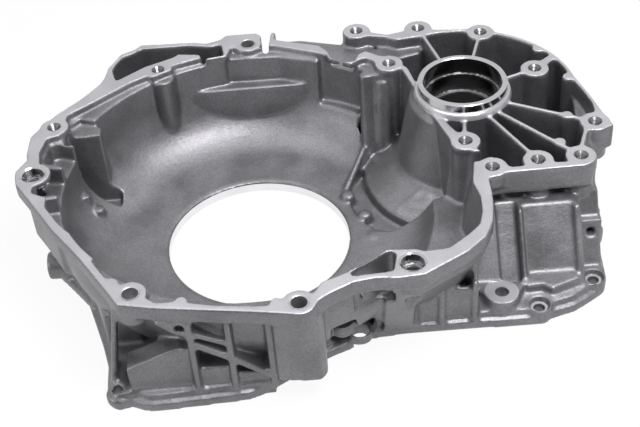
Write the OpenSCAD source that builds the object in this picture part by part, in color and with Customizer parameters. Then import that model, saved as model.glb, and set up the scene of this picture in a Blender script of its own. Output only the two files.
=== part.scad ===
// Torque converter housing: one die-cast aluminium part.
// The origin lies on the converter axis, on the plane of the joint face.
// The bell opens upwards, the output axis stands at its right.

/* [Bell] */
// Height of the bell face above the joint face
bell_h = 97; // [92:1:104]
// Inner radius of the bell wall
bell_r = 157; // [153:0.5:161]
// Thickness of the cast walls
wall = 6; // [5:0.5:7]
// Thickness of the bell flange
flange_t = 14; // [10:1:18]
// Depth of the step between the bell face and the inner ledge
ledge_drop = 6; // [3:0.5:9]
// Radius of the hole in the bowl floor
hub_r = 78; // [66:1:88]
// Height of the bowl floor at its hole
hub_z = 9.5; // [7.5:0.5:12]
// Width of the bevel on the edge of the hole
hub_bevel = 2; // [1:0.5:3]
// Radius of the blend between the bowl floor and the bell wall
bowl_blend = 50; // [40:1:56]
// Slope of the bowl floor
bowl_slope = 6; // [3:0.5:8]

/* [Bell bolts] */
// Drill radius of the threaded holes
thread_r = 4.3; // [3.5:0.1:5]
// Radius of the countersink on a threaded hole
sink_r = 5.4; // [5.1:0.1:6.5]
// Depth of the threaded holes
thread_depth = 26; // [18:1:32]
// Radius of the plain holes
clear_r = 6.4; // [5.5:0.1:7]
// Radius of the bolt bosses
boss_r = 13; // [11:0.5:15]
// Radius of the plain through bore at the dowel seats
dowel_hole_r = 6; // [5:0.1:7]
// Radius of the dowel seats
dowel_r = 9; // [8:0.1:10]
// Depth of the dowel seats
dowel_depth = 10; // [6:0.5:12]
// Width of the bevel on a dowel seat
dowel_bevel = 1; // [0.5:0.1:1.5]
// Radius of the dowel bosses
dowel_boss_r = 15; // [13:0.5:17]

/* [Output case] */
// Distance between the converter axis and the output axis
axis_gap = 197.5; // [194:0.5:201]
// Direction of the output axis from the converter axis
axis_angle = 21; // [19:0.5:23]
// Outer radius of the output case
case_r = 99.5; // [97:0.5:102]
// Width of the rim of the output case
rim_w = 4; // [3:0.5:6]
// Width of the ribs in the output case
rib_w = 4.2; // [3:0.2:6]
// Depth of the chambers between the ribs
chamber_depth = 76; // [50:1:80]
// Height of the smooth band on the front of the output case
band_h = 23; // [18:1:28]

/* [Output ring] */
// Bore radius of the output ring
ring_bore_r = 33.3; // [31:0.1:34.5]
// Outer radius of the output ring
ring_r = 38.2; // [36.5:0.1:39.5]
// Height of the output ring above the bell face
ring_h = 12.4; // [8:0.2:16]
// Width of the bevels on the output ring
ring_bevel = 0.8; // [0.4:0.1:1.2]
// Radius of the collar round the output ring
collar_r = 42; // [41:0.5:45]
// Depth of the bearing seat below the top of the ring
seat_depth = 16; // [10:1:22]
// Radius of the bore below the bearing seat
inner_bore_r = 30.5; // [28:0.5:31]
// Depth of that bore below the top of the ring
inner_depth = 32; // [26:1:40]
// Radius of the passage through the floor of the case
shaft_r = 25; // [18:0.5:27]

/* [Joint face] */
// Thickness of the joint flange
base_t = 8; // [6:0.5:10]
// Width of the joint flange
base_w = 14; // [10:1:16]
// Distance from the output axis to the front edge of the foot
foot_reach = 188; // [184:1:192]
// Height of the front wall of the foot
foot_wall_h = 41; // [36:1:44]
// Height of the roof of the foot behind that wall
foot_h = 30; // [26:1:34]
// Height of the low step behind the joint flange
step_h = 13; // [10:1:16]
// Height of the wall above the joint face, in front of the bell
apron_h = 44; // [38:1:50]
// Setback of the walls from the edge of the joint flange
setback = 5; // [3:0.5:7]
// Radius of the bolt holes in the joint flange
base_hole_r = 4.2; // [3.5:0.1:5]
// Radius of the bosses round those holes
base_boss_r = 9.5; // [8.5:0.5:11]

/* [Front ribs] */
// Width of the upright ribs
front_rib_w = 5; // [4:0.5:7]
// Distance of the rib faces outside the inner wall of the bell
rib_reach = 12; // [10:0.5:14]
// Setback of the wall panels behind the rib faces
panel_inset = 5; // [3:0.5:7]
// Width of the block below the front bolt boss
block_w = 38; // [32:1:42]
// Height of the underside of that block
block_z = 22.5; // [18:0.5:30]

/* [Bell inside] */
// Distance of the flat pad at the back of the bell from the wall of the bell
pad_inset = 10.5; // [8:0.5:13]
// Height of the top of that pad
pad_top = 66; // [60:0.5:72]
// Radius of the column inside the bell at the rear left
column_r = 12; // [10:0.5:13]
// Outer radius of the gear dome, from the output axis
dome_r = 88; // [86:0.5:91]
// Height of the rim of the dome
dome_rim_h = 13; // [11:0.5:15]
// Height of the foot of the neck above the shoulder of the dome
dome_h = 30; // [26:1:34]
// Radius of the neck of the dome
neck_r = 57; // [54:0.5:60]
// Height of the floor of the gear bay round the dome
bay_z = 4; // [3:0.5:6]
// Height of the floor of the lobe at the front right
lobe_z = 38; // [34:1:46]
// Share of the lobe's depth that is left at its floor
lobe_lean = 0.8; // [0.76:0.01:0.9]
// Height of the shelf behind the bell
shelf_z = 86; // [80:1:88]
// Depth of the pocket behind the bell
pocket_depth = 40; // [20:1:44]

/* [Side fittings] */
// Radius of the breather boss on the left
port_r = 12; // [9:0.5:13]
// Radius of the bore in that boss
port_bore_r = 5; // [3:0.5:7]
// Radius of the machined pad on the foot
pad_r = 14; // [11:0.5:15]
// Radius of the hole in the pad
pad_hole_r = 5.2; // [4:0.2:6]
// Height of the machined pad
pad_h = 22; // [18:1:26]
// Outer radius of the oil socket at the front
socket_r = 10.8; // [9.5:0.1:11.5]
// Bore radius of the oil socket
socket_bore_r = 8; // [6:0.1:8.5]
// Outer radius of the small stud boss beside it
stud_r = 9.3; // [7:0.1:10]
// Bore radius of the small stud boss
stud_bore_r = 2.9; // [2:0.1:4]

/* [Hidden] */
$fn = 48;
// Overlap that cuts use so that no skin is left behind
cut = 1;
// Overlap that joins neighbouring walls
bite = 1;

out_pos = axis_gap * [cos(axis_angle), sin(axis_angle)];
flange_z = bell_h - flange_t;
ledge_z = bell_h - ledge_drop;
band_z = bell_h - band_h;
chamber_z = bell_h - chamber_depth;
ring_top = bell_h + ring_h;
blend_r = bell_r - bowl_blend;
rib_face = bell_r + rib_reach;
foot_front_y = out_pos[1] - foot_reach + 0.5;
// Place of the pad, from the output axis and the front of the foot
side_boss_at = [88, 64.5];
side_boss_z = 36;
socket_at = [77.5, -120];
stud_at = [64, -128.7];
stud_z = 34;
foot_shelf = [[30, 40], [30, 22], [42, 23], [49, 17], [56, 20], [72, 26], [74, 40]];
pad_pos = [8.4, 17.5];
foot_bolts = [[37.2, 9], [86, 35], [97, 93]];
// Height of the centre of the blend, from the slope of the floor
blend_z = hub_z + (blend_r + bowl_blend * sin(bowl_slope) - hub_r) * tan(bowl_slope)
    + bowl_blend * cos(bowl_slope);

function polar(r, a) = r * [cos(a), sin(a)];
function arc(c, r, a0, a1, n) = [for (i = [0 : n]) c + polar(r, a0 + (a1 - a0) * i / n)];
// A point of the bell, from an angle and an offset from its inner wall
function on_bell(p) = polar(bell_r + p[1], p[0]);
// A point of the output case, from an angle and an offset from its outer wall
function on_case(p) = out_pos + polar(case_r + p[1], p[0]);
// A point of the foot, from the output axis and the front edge of the foot
function on_foot(p) = out_pos + [p[0], p[1] - foot_reach];

// Bolt places of the bell: angle, offset from the bell wall, and lower end of the plain holes
bell_threads = [[157.8, 23.6], [119.5, 8], [44.4, 19.6]];
bell_plain = [[89.9, 17.3, 47], [238.6, 13, 47], [281.4, 14.6, 18]];
dowels = [[178.5, 20.9], [311.1, 23.7]];
// Bolt places of the output case: angle, offset from the case wall
case_threads = [[127, 38.5], [103.8, 10], [72.2, -3.5], [21.7, -27], [331.1, 17],
    [309.4, 28.6], [295, 11], [264.1, -31], [275.1, 5.6]];
// Lugs on the rim of the case and along its ribs: angle, offset, radius
rim_lugs = [[37, -4, 6], [6.3, -5, 6], [331.6, -7, 5.5], [310.8, 5, 5.5]];
// Small cast lugs along the inner edge of the flange: angle, offset, radius
mouth_lugs = [[219, -2, 7], [208, 1, 5], [232, 12, 7], [252, 8, 5], [276, 10, 5]];

// Outer edge of the bell flange
bell_edge = [
    [83.5, 10], [86, 10], [86, 30], [87.5, 35], [96, 36], [98, 30], [102, 28], [105, 34],
    [118, 55], [120, 52], [124, 53], [127, 47], [130, 42], [133, 33], [136, 28], [144, 26],
    [153, 32], [160, 36], [163, 38], [170, 33], [172, 30], [177, 37], [182, 34], [189, 23],
    [203, 12], [217, 8.5], [223, 11], [233, 20], [238, 27.5], [246, 21], [258, 15.5],
    [270, 17.5], [281, 27.5], [284, 25], [286, 18], [289, 15], [296, 13], [301, 18.5],
    [305, 29], [310, 40], [321, 50], [327, 54], [332, 52], [337, 47], [342, 42], [346, 38],
    [347, 48], [352, 48], [0, 38], [20, 20], [39, 35], [44, 32], [49, 25], [54, 25],
    [55, 17], [54, 5], [58, 0], [62, 3], [64, 11], [68, 18], [74, 18.6], [82, 23],
    [82, 35], [83.5, 35]];
// Inner edge of the bell flange
bell_mouth = [
    [39, 19], [40, 14], [45, 9], [48, 13], [50, 15], [52, 14], [53, 9], [54, -1], [58, -2],
    [62, -1], [64, 5], [73, 6.5], [82, 12], [89, 8], [93, 11], [95, 14], [97, 0], [99, -2],
    [103, -1], [105, 5.5], [115, 6], [130, 7], [136, 8], [145, 13], [152, 21], [156, 16],
    [161, 13], [163, 22], [169, 21.5], [173, 18], [186, 20], [189, 8], [193, 10], [201, 4.5],
    [216, -2], [221, 2.5], [226, 5.7], [233, 12], [240, 10], [246, 14], [251, 9], [261, 9],
    [271, 11], [277, 13], [285, 10], [290, -3], [296, -5], [303, -3.5], [309, -2], [313, 8],
    [316, 23], [320, 35], [326, 40], [330, 43], [334, 40], [339, 34], [344, 25], [356, 25],
    [2, 8], [16, 3], [30, 9]];
// Wall between the bell and the output case
divider_edge = [
    [44, 26], [39, 19], [30, 9], [16, 3], [2, 8], [356, 25], [356, 32], [2, 20], [16, 8],
    [30, 14], [39, 26]];
// Outside of the lobe, and its mouth in the bell
lobe_edge = [
    [306, 0], [307, 30], [310, 37], [321, 47], [327, 51], [332, 49],
    [337, 44], [342, 39], [346, 35], [352, 34], [2, 26], [8, -20], [330, -40]];
lobe_mouth = [
    [306, -3], [309, -2], [313, 8], [316, 23], [320, 35], [326, 40], [330, 43], [334, 40],
    [339, 34], [344, 25], [356, 25], [2, 8], [8, 2], [8, -30], [330, -60]];
// Box behind the bell and the pocket in it
rear_edge = [
    [86, 0], [86, 29], [87.5, 34], [96, 35], [98, 29], [102, 27], [105, 33], [118, 54],
    [120, 51], [124, 52], [127, 46], [130, 41], [133, 32], [136, 27], [136, 0], [110, 0]];
rear_pocket = [
    [129.5, 36], [127, 42], [124, 47], [121, 46], [119, 48], [107, 30], [101, 20], [98, 22],
    [98, 3], [105, 4], [105, 12], [111, 21.5], [113, 19], [122, 20.5], [132, 20]];
// Pocket beside the dowel at the front right
side_pocket = [[296.9, 2.6], [309.3, 2.3], [310.4, 4.3], [310.5, 8.4], [305.9, 20], [297.1, 6.2]];
// Shelf between the bell and the rear bolts of the case
shelf_edge = [
    [84, 0], [84, 36], [75.6, 40], [64, 41], [60, 47], [55, 46], [50, 57], [46, 72],
    [44, 63], [46.8, 44], [46, 30], [48, 10], [60, -2], [70, 0]];
// Flat recess in the bell wall above the pad
recess_edge = [[97.5, 3.5], [91, 1.5], [80, 3], [67, 1], [67, -12], [97.5, -12]];
// Gear bay round the dome, up to the wall below the bolt at the rear right
gear_bay = [
    [51, -6], [49.5, 0], [46, 2], [43, 9], [40, 14], [39, 19], [30, 9], [16, 3],
    [2, 8], [357, -45], [0, -57], [8, -65], [17, -68], [28, -66], [38, -50], [41.5, -20]];
// Wall round the bays at the left and the pockets in its top
left_edge = [
    [149, -2], [151, 20], [156, 27], [163, 31], [170, 28], [176, 28], [183, 27], [189, 18],
    [201, 9], [207, -2]];
left_pockets = [
    [[163.5, -12], [162.5, 14], [164, 20], [171, 18], [173, -12]],
    [[174.5, -12], [173.5, 17], [179, 19], [185, 18], [186, -12]],
    [[187.5, -12], [187.5, 13], [193, 9], [199, 4], [201, -12]]];
// Ledge with an angular outline at the left, above the slot
left_ledge = [[154.5, 18], [150, 14], [148.5, -5.5], [152.5, -11.5], [156.5, 7.5]];

// Parts of the case outline outside its circle
case_rear = [
    [123, 27], [119, 15], [112.5, 12.5], [103.8, 11], [104.8, -4], [117.9, 1.5], [121, 12],
    [127, 26], [131, 28.5]];
case_crown = [[97, 3.5], [80, 0.5], [75, 8], [70, 8], [64, 0], [70, -12], [100, -12]];
case_front = [
    [9, -0.5], [351.2, 7.6], [337.6, 21.5], [331.2, 33.5], [327, 24], [324, 16.6],
    [315.5, 22.7], [313, 36], [309, 42], [306, 40], [280, 16], [272, 16], [270, -10], [300, -20]];
// Corner of the case that runs down to the joint flange
case_corner = [[0, -3], [322, 22], [315, 36], [306, 26], [300, -10], [340, -20]];
// Front part of the chambers
chamber_front = [
    [264, -34], [270, 0], [284, 10], [292, 14], [302, 24], [305, 32], [308, 20],
    [314.3, 19], [323, 12.5], [327, 9], [333, 2.5], [340, -2], [350, -4], [330, -30]];
// Shallow corner of the chambers beside the bolt at the right
chamber_corner = [[327, 10], [333, 8], [338, 13], [344, 9.5], [355, 1.2], [5, -4], [330, -30]];

// Edge of the joint flange at the front left, from the bell
base_front = [
    [186.6, 15], [193.6, 4.5], [201.7, -3], [209.8, 0], [220, 9], [227, 20.6], [232.3, 39],
    [236.2, 47.7], [237.4, 47], [239.4, 40], [242.4, 39.4], [244.8, 37.6], [254.3, 24],
    [266.3, 15.4], [270, 11], [291.8, -11.6], [298.2, -11], [305.3, -10.6]];
// Edge of the foot, from the output axis and the front of the foot
foot_edge = [
    [-66, 1], [37, -1], [44, 3], [67, 10], [83, 20], [94, 28], [98, 39], [101, 79],
    [106, 95], [108.5, 114], [112, 123]];
// Edge of the joint flange behind the bell
base_rear = [[49, 58], [58, 54], [64, 44], [84, 36], [94, 34], [100, 18]];
// Bolt places of the joint flange
base_bolts = [on_bell([235.4, 38]), for (p = foot_bolts) on_foot(p), on_case([20, 3]),
    on_case([70, 3]), on_bell([72, 38]), on_bell([94, 26]), on_bell([132, 9]), on_bell([165, 9])];

module slab(z0, z1) {
    translate([0, 0, z0]) linear_extrude(z1 - z0) children();
}

module peg(p, r, z0, z1) {
    translate([p[0], p[1], z0]) cylinder(r = r, h = z1 - z0);
}

// Upright wall between two plan positions
module web(p, q, w, z0, z1) {
    d = q - p;
    translate([p[0], p[1], z0]) rotate(atan2(d[1], d[0])) translate([0, -w / 2, 0])
        cube([norm(d), w, z1 - z0]);
}

// Extrusion along X of a profile of Y and Z values
module along_x(x0, x1, pts) {
    translate([x0, 0, 0]) rotate([90, 0, 90]) linear_extrude(x1 - x0) polygon(pts);
}

// Extrusion along Y of a profile of X and Z values
module along_y(y0, y1, pts) {
    translate([0, y1, 0]) rotate([90, 0, 0]) linear_extrude(y1 - y0) polygon(pts);
}

module bell_polygon(pts) {
    polygon([for (p = pts) on_bell(p)]);
}

module case_polygon(pts) {
    polygon([for (p = pts) on_case(p)]);
}

module bell_discs(list, r) {
    for (p = list) translate(on_bell(p)) circle(r = r);
}

module case_discs(list, r) {
    for (p = list) translate(on_case(p)) circle(r = r);
}

// Cross-section of the bowl, at a distance t outside its inner surface
module bowl_section(t) {
    a0 = 270 + bowl_slope;
    low = [blend_r, blend_z] + polar(bowl_blend + t, a0);
    flat_r = hub_r - 2 * hub_bevel;
    flat_z = low[1] - (low[0] - flat_r) * tan(bowl_slope);
    polygon(concat(
        [[0, bell_h], [0, flat_z], [flat_r, flat_z]],
        arc([blend_r, blend_z], bowl_blend + t, a0, 360, 12),
        [[bell_r + t, bell_h]]));
}

module bowl_solid(t) {
    rotate_extrude($fn = 120) bowl_section(t);
}

// Outline of the output case at the bell face
module case_outline() {
    translate(out_pos) circle(r = case_r, $fn = 120);
    case_polygon(case_rear);
    case_polygon(case_crown);
    case_polygon(case_front);
    case_discs([for (i = [0, 1, 2, 4, 5]) case_threads[i]], boss_r);
}

// A straight rib from the output axis to a bolt place
module rib_strip(p) {
    translate(out_pos) rotate(p[0]) translate([0, -rib_w / 2]) square([case_r + p[1], rib_w]);
}

// Bosses of the bell that stand inside its mouth
module mouth_bosses() {
    bell_discs(dowels, dowel_boss_r);
    bell_discs(concat(bell_threads, bell_plain), boss_r);
    case_discs([case_threads[7], case_threads[8]], boss_r);
}

// Flange plate: the bell face and the face of the output case
module face_plate() {
    slab(flange_z, bell_h) {
        bell_polygon(bell_edge);
        mouth_bosses();
        case_outline();
    }
}

// Opening of the bell through the flange, with the bosses left standing
module mouth_cut() {
    slab(ledge_z, bell_h + cut) difference() {
        bell_polygon(bell_mouth);
        mouth_bosses();
        for (l = mouth_lugs) translate(on_bell(l)) circle(r = l[2]);
        translate(out_pos) circle(r = collar_r);
    }
}

// Chambers of the output case, with the ribs, bosses and collar left standing
module chamber_cut() {
    slab(chamber_z, bell_h + cut) chamber_plan() {
        translate(out_pos) circle(r = case_r - rim_w, $fn = 120);
        case_polygon(chamber_front);
    }
    slab(band_z + wall, bell_h + cut) chamber_plan() case_polygon(chamber_corner);
}

// Plan of the chambers around what is left standing in them
module chamber_plan() {
    difference() {
        union() children();
        bell_polygon(bell_mouth);
        bell_polygon(divider_edge);
        bell_polygon(shelf_edge);
        case_polygon(case_rear);
        translate(out_pos) circle(r = collar_r);
        case_discs(case_threads, boss_r);
        bell_discs([bell_threads[2]], boss_r);
        for (l = rim_lugs) translate(on_case(l)) circle(r = l[2]);
        for (i = [1 : 7]) rib_strip(case_threads[i]);
        // Short wide rib from the inner boss to the rim
        translate(on_case(case_threads[3])) rotate(40) translate([0, -rib_w]) square([boss_r + 12, 2 * rib_w]);
    }
}

// Space above the shelf behind the bell
module shelf_cut() {
    slab(shelf_z, bell_h + cut) difference() {
        bell_polygon(shelf_edge);
        bell_polygon(bell_edge);
        bell_discs([bell_threads[2]], boss_r);
        case_polygon(case_rear);
        case_discs([case_threads[0], case_threads[1]], boss_r);
        rib_strip(case_threads[1]);
    }
}

// Upright columns under the bolt bosses, outside the bell wall
module bell_columns() {
    peg(on_bell(dowels[0]) + [3, 0], dowel_boss_r - 3, apron_h - bite, flange_z + bite);
    peg(on_bell(dowels[1]), dowel_boss_r - 1, flange_z - 8, flange_z + bite);
    peg(on_bell(bell_threads[0]), boss_r - 1, apron_h - bite, flange_z + bite);
    peg(on_bell(bell_plain[1]), boss_r, flange_z - 8, flange_z + bite);
}

// Body of the output case
module case_body() {
    slab(0, flange_z + bite) {
        translate(out_pos) circle(r = case_r - bite, $fn = 120);
        case_polygon(case_corner);
    }
    slab(band_z, flange_z + bite) case_polygon(case_front);
    slab(shelf_z - 30, flange_z + bite) case_polygon(case_rear);
    peg(on_case(case_threads[4]), boss_r - 2, flange_z - 20, flange_z + bite);
    // Column below the bolt between the lobe and the case, with a pointed end
    peg(on_case(case_threads[7]), boss_r - 1.5, 64, flange_z + bite);
    translate(concat(on_case(case_threads[7]), 52)) cylinder(r1 = 5, r2 = boss_r - 1.5, h = 12 + bite);
    for (i = [5, 6]) peg(on_case(case_threads[i]), boss_r - 2, band_z - 12, flange_z + bite);
    for (i = [0, 1]) peg(on_case(case_threads[i]), boss_r - 1, base_t - bite, flange_z + bite);
    peg(out_pos, collar_r, chamber_z - bite, bell_h);
    output_ring();
}

// Turned ring round the output bore, with a shoulder above its collar
module output_ring() {
    shoulder = collar_r - 0.8;
    translate(out_pos) rotate_extrude($fn = 96) polygon([
        [shaft_r, bell_h - bite], [shoulder, bell_h - bite], [shoulder, bell_h + ring_h * 0.22],
        [shoulder - 1, bell_h + ring_h * 0.3], [ring_r, bell_h + ring_h * 0.42],
        [ring_r, ring_top - ring_bevel], [ring_r - ring_bevel, ring_top], [shaft_r, ring_top]]);
}

// Plan of the joint flange
module base_outline() {
    polygon(concat(
        [for (p = base_front) on_bell(p)],
        [for (p = foot_edge) on_foot(p)],
        arc(out_pos, case_r + 7, 6, 116, 16),
        [for (p = base_rear) on_bell(p)],
        arc([0, 0], bell_r + 13, 106, 180, 12)));
    for (p = base_bolts) translate(p) circle(r = base_boss_r);
}

module base_inset(d) {
    offset(delta = -d) base_outline();
}

// Half-plane to the left and behind, where the walls reach the bell
module bell_side(d = 0) {
    polygon([[-bell_r * 2, -bell_r * 0.72 + d], [-bell_r * 0.6, -bell_r * 0.72 + d],
        [0, 0], [bell_r * 0.3 - d, bell_r * 1.6], [-bell_r * 2, bell_r * 1.6]]);
}

// Strip along the front, in front of the bell
module bell_front() {
    translate([-bell_r, -bell_r * 1.5]) square([bell_r + out_pos[0] - 12, bell_r]);
}

// Joint flange, the walls that stand on it and the hollow beneath them
module base_body() {
    difference() {
        union() {
            slab(0, base_t) base_outline();
            slab(0, step_h) base_inset(setback);
            slab(0, foot_h) foot_plan(setback);
            slab(0, apron_h) intersection() {
                base_inset(setback);
                bell_side();
            }
            slab(0, shelf_z) bell_polygon(shelf_edge);
            foot_front();
            front_wall();
            front_panels();
        }
        slab(-cut, step_h - wall / 2) base_inset(base_w);
        slab(-cut, foot_h - wall) foot_plan(base_w);
        slab(-cut, apron_h - wall) intersection() {
            base_inset(base_w);
            bell_side(wall);
        }
        slab(-cut, shelf_z - wall) difference() {
            offset(delta = -wall) bell_polygon(shelf_edge);
            circle(r = bell_r + 2 * wall, $fn = 120);
        }
    }
}

// Plan of the foot in front of the bell, a distance d inside its flange
module foot_plan(d) {
    intersection() {
        base_inset(d);
        bell_front();
        translate([d, -bell_r * 1.5]) square([bell_r * 2, bell_r * 1.5]);
    }
}

// Slanted walls below the front of the case, their ribs and the machined pad
module foot_front() {
    slanted_wall(-12, 10, -121, -170);
    slanted_wall(10, 27, -112, -162);
    slanted_wall(27, 73, -118, -163);
    slanted_wall(78, 96, -106, -143);
    for (x = [27, 72]) slanted_wall(x, x + 4 + (x - 27) / 22, -124, -171 + (x - 27) / 12);
    pad_at = on_foot(pad_pos);
    slab(0, pad_h) {
        translate(pad_at) circle(r = pad_r);
        translate(pad_at) polygon([[-20, 12], [-20, 8], [-pad_r, -2], [pad_r, -2], [20, 8], [20, 12]]);
    }
    slab(0, pad_h) polygon([for (p = foot_shelf) on_foot(p)]);
    slab(0, step_h + 1) offset(delta = 4) polygon([for (p = foot_shelf) on_foot(p)]);
    for (p = foot_bolts) peg(on_foot(p), base_boss_r + 0.5, 0, step_h + 1);
    side_boss();
}

// Boss with a drilled hole beside the right end of the slanted walls
module side_boss() {
    at = on_foot(side_boss_at);
    translate([at[0], at[1], side_boss_z]) rotate([-90, 0, 0]) cylinder(r = pad_r - 4, h = 30);
    translate([at[0] - pad_r + 4, at[1], side_boss_z]) cube([2 * pad_r - 9, 30, pad_r - 2.5]);
}

// One slanted wall, with its ends and its upper and lower front edges from the output axis
module slanted_wall(x0, x1, y_top, y_low) {
    top = band_z - 8;
    along_x(out_pos[0] + x0, out_pos[0] + x1, [for (p = [[y_low, 0], [y_low, base_t],
        [y_top, top], [y_top + 34, top], [y_top + 34, 0]]) p + [out_pos[1], 0]]);
}

// Sloping front wall between the block and the leaning column, and the wall of the foot
module front_wall() {
    y_top = on_bell(dowels[1])[1] - 6;
    difference() {
        along_x(48, 99, [[y_top, flange_z + bite], [foot_front_y + 2, base_t], [foot_front_y + 2, 0],
            [foot_front_y + 10, 0], [y_top + 8, flange_z + bite]]);
        // Slot beside the leaning column
        translate([90, foot_front_y - cut, 5]) cube([7, 24, 17]);
    }
    translate([99, foot_front_y + 4.5, 0]) cube([out_pos[0] - 111, 5, foot_wall_h]);
}

// Wall panels between the front ribs of the bell
module front_panels() {
    y0 = -rib_face + panel_inset;
    along_y(y0, y0 + 20, [[-100, 0], [-100, 36], [-80, 45], [-68, 51], [-58, 54],
        [-48, 51], [-48, 31], [-20, 31], [-20, 24], [10, 22], [10, 0]]);
    along_y(y0 - 2.5, y0 + 20, [[-112, 0], [-112, step_h], [10, step_h], [10, 0]]);
}

// Upright and slanted ribs on the front of the bell
module front_ribs() {
    w = front_rib_w;
    for (x = [-48, -20, 9.5])
        translate([x - w / 2, -rib_face, base_t - bite])
            cube([w, 30, flange_z - base_t + 2 * bite]);
    along_y(-rib_face, -rib_face + 18, [[-48, 59], [-48, 65], [-18, 46], [8, 25], [8, 18], [-20, 40]]);
    along_y(-rib_face + 1, -rib_face + 14, [[-48, 69], [-48, 74], [-20, 60], [-20, 55]]);
    // Arm between the left rib and the flange, with a small drilled hole
    along_y(-rib_face + 2, -rib_face + 16, [[-72, flange_z + bite], [-60, 72], [-48, 66],
        [-48, flange_z + bite]]);
    // Leaning rib at the left end
    along_y(5 - bell_r, 23 - bell_r, [[-104, flange_z + bite], [-100, flange_z + bite], [-112, base_t],
        [-117, base_t]]);
}

// Block below the front bolt boss, and the leaning column beside the dowel
module front_blocks() {
    x0 = on_bell(bell_plain[2])[0] - block_w * 0.56;
    y0 = on_bell(bell_plain[2])[1] - 9.5;
    slab(block_z, flange_z + bite) polygon([[x0, y0 + 3], [x0 + block_w * 0.5, y0],
        [x0 + block_w - 5, y0], [x0 + block_w, y0 + 6], [x0 + block_w, y0 + 40], [x0, y0 + 40]]);
    peg(on_bell(bell_plain[2]), boss_r, flange_z - 16, flange_z + bite);
    along_x(97, 121, [[on_bell(dowels[1])[1] - 12, flange_z + bite], [foot_front_y, base_t],
        [foot_front_y, 0], [foot_front_y + 30, 0], [foot_front_y + 30, flange_z + bite]]);
    for (x = [122, 143.5, 169.5])
        translate([x - front_rib_w / 2, foot_front_y + 1.5, base_t - bite])
            cube([front_rib_w, 30, foot_wall_h]);
    translate([168, foot_front_y + 5, foot_wall_h]) cube([4, 22, flange_z - foot_wall_h]);
}

// Chamber that widens the bell towards the front right: its walls lean in as they go down
module lobe_body() {
    slab(flange_z - 8, flange_z + bite) bell_polygon(lobe_edge);
    leaning(lobe_z - wall, flange_z - 7) bell_polygon(lobe_edge);
}

module lobe_cut() {
    difference() {
        union() {
            slab(flange_z - 8, ledge_z + cut) bell_polygon(lobe_mouth);
            leaning(lobe_z, flange_z - 7) bell_polygon(lobe_mouth);
        }
        peg(on_bell(dowels[1]), dowel_boss_r - 1, flange_z - 20, ledge_z);
        for (i = [7, 8]) peg(on_case(case_threads[i]), boss_r - 2, 0, ledge_z);
    }
}

// A shape whose front draws back towards the converter axis as it goes down from z1 to z0
module leaning(z0, z1) {
    translate([0, 0, z1]) mirror([0, 0, 1]) linear_extrude(z1 - z0, scale = [0.97, lobe_lean],
        slices = 1) children();
}

// Niche beside the block, deeper where the oil socket stands
module niche_cut() {
    along_y(-170, -119, [[55, 10], [55, 48], [74, 48], [76, 27], [89.5, 26], [89.5, 10]]);
    along_y(-122, -106.5, [[66, 10], [66, 27], [89.5, 26], [89.5, 10]]);
}

// Round-bottomed recess in the slanted wall, below the flange
module round_recess() {
    translate([90.5, -137.8, 70]) rotate([110, 0, 0]) translate([0, 0, -1.2]) {
        cylinder(r = 12, h = 12);
        translate([-12, 0, 0]) cube([24, 11, 12]);
    }
}

// Oil socket and stud boss in the niche
module front_sockets() {
    difference() {
        intersection() {
            bowl_solid(wall);
            union() {
                along_y(-160, -115, [[51, 6], [51, 52], [78, 52], [93, 31], [93, 6]]);
                along_y(-118, -102, [[62, 6], [62, 31], [93, 31], [93, 6]]);
            }
        }
        niche_cut();
    }
    peg(socket_at, socket_r, 6, 14);
    peg(stud_at, stud_r, stud_z - 11, stud_z);
    translate(concat(stud_at - [6, 0], stud_z - 11)) cube([12, 14, 9]);
}

// Breather boss on the left, which points sideways
module left_port() {
    x0 = -bell_r - 21;
    translate([x0, -18, port_r + 4]) rotate([0, 90, 0]) cylinder(r = port_r, h = 50);
    web([x0 + 6, -18], [x0 + 40, -18], 4, base_t, 40);
}

// Outer profile of the gear dome: radius from the output axis, height
module dome_section(t) {
    polygon([[0, 0], [dome_r - t, 0], [dome_r - t, dome_rim_h - t],
        [dome_r - 1.5 - t, dome_rim_h + 1.5 - t], [dome_r - 4 - t, dome_rim_h + 2 - t],
        [neck_r + 4 - t, dome_h - 1.5 - t], [neck_r - t, dome_h + 3 - t],
        [neck_r - 5 - t, flange_z - 22], [collar_r + 4 - t, flange_z + 8 - t],
        [collar_r - t / 4, bell_h - 1.5 - t], [0, bell_h - 1.5 - t]]);
}

// Gear dome in the bell, beside the output case
module dome() {
    intersection() {
        translate(out_pos) rotate_extrude($fn = 96) dome_section(0);
        slab(0, bell_h) {
            bell_polygon(bell_mouth);
            bell_polygon(lobe_mouth);
        }
    }
}

// Lugs and the lip in the bay round the dome, and the two columns behind it
module bay_details() {
    for (p = [[-104.4, -26, 15], [-91.4, -52, 14], [-85.8, -79.5, 12]])
        translate(concat(out_pos + [p[0], p[1]], bay_z - bite)) {
            cylinder(r = 6.3, h = p[2] - bay_z);
            translate([0, 0, p[2] - bay_z]) cylinder(r1 = 6.3, r2 = 4.3, h = 1.8);
        }
    // Lip between the bowl and the bay
    leaning_column([77.5, 52, 10], [99, 96], 3, 25);
    leaning_column([115.5, 96, bay_z], on_bell([44.6, 11]), 8, flange_z + bite);
    leaning_column([103.5, 96, bay_z], on_bell([49.2, 3]), 6.5, ledge_z - 2);
    // Fan of round ribs on the shoulder of the dome
    leaning_column([120, 17.5, 13.5], [149, 28.5], 2.4, 31);
    leaning_column([132, 22, 22], [151, 18], 2, 27);
    leaning_column([131, 17.5, 18], [154, 2], 2.4, 20);
    leaning_column([120, 16.5, 13.5], [146, -3.5], 2.4, 14.5);
}

// Round column from a foot to a place at height z
module leaning_column(foot, p, r, z) {
    d = [p[0], p[1], z] - foot;
    translate(foot) rotate([0, acos(d[2] / norm(d)), atan2(d[1], d[0])])
        cylinder(r = r, h = norm(d));
}

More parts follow.
